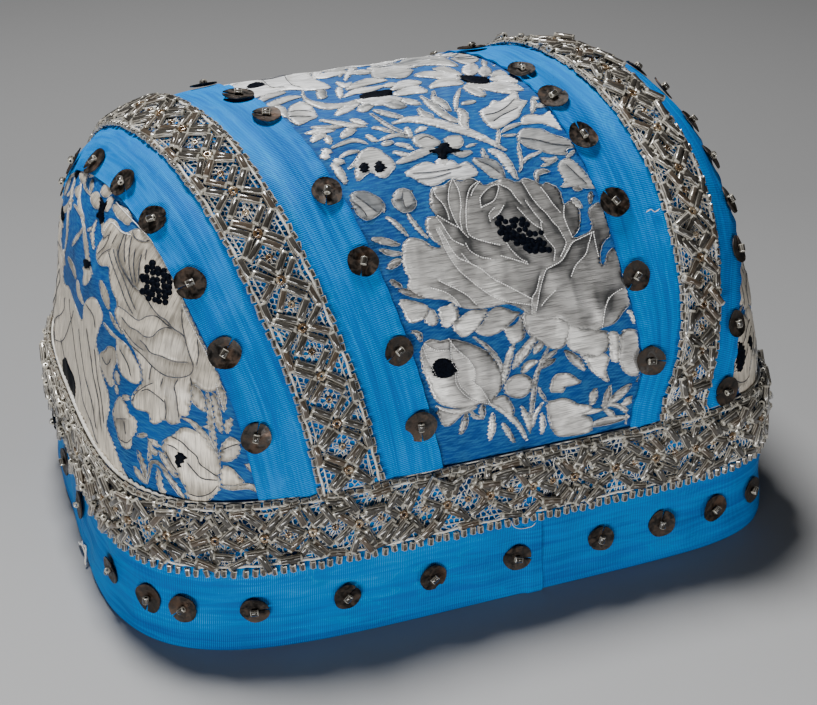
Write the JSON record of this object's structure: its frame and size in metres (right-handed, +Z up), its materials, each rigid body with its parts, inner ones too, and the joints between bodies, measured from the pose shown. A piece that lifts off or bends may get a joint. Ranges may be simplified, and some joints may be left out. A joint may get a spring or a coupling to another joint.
{
  "type": "alsatian headdress",
  "caption": "Stiff three-piece cap of floral brocade, bound with watered ribbons, bead galloons and dark spangles; it stands on its own rim.",
  "frame": {"origin": "on the surface that the rim stands on, in the middle of the cap's box", "axes": "+Z up, +X along the cap's length from the left end to the right one, -Y the flat near side with the joins"},
  "size_m": [0.189, 0.1522, 0.1187],
  "materials": {
    "brocade": "blue brocade with silver-white flowers",
    "watered_silk": "bright blue watered silk ribbon",
    "bead_galloon": "smoky silver-lined glass beads on white net"
  },
  "bodies": {
    "root": {"brocade_center": "brocade", "brocade_left": "brocade", "brocade_right": "brocade", "ribbon_arch_left": "watered_silk", "ribbon_arch_right": "watered_silk", "ribbon_rim": "watered_silk", "galloon_arch_left": "bead_galloon", "galloon_arch_right": "bead_galloon", "galloon_rim": "bead_galloon"}
  },
  "joints": []
}
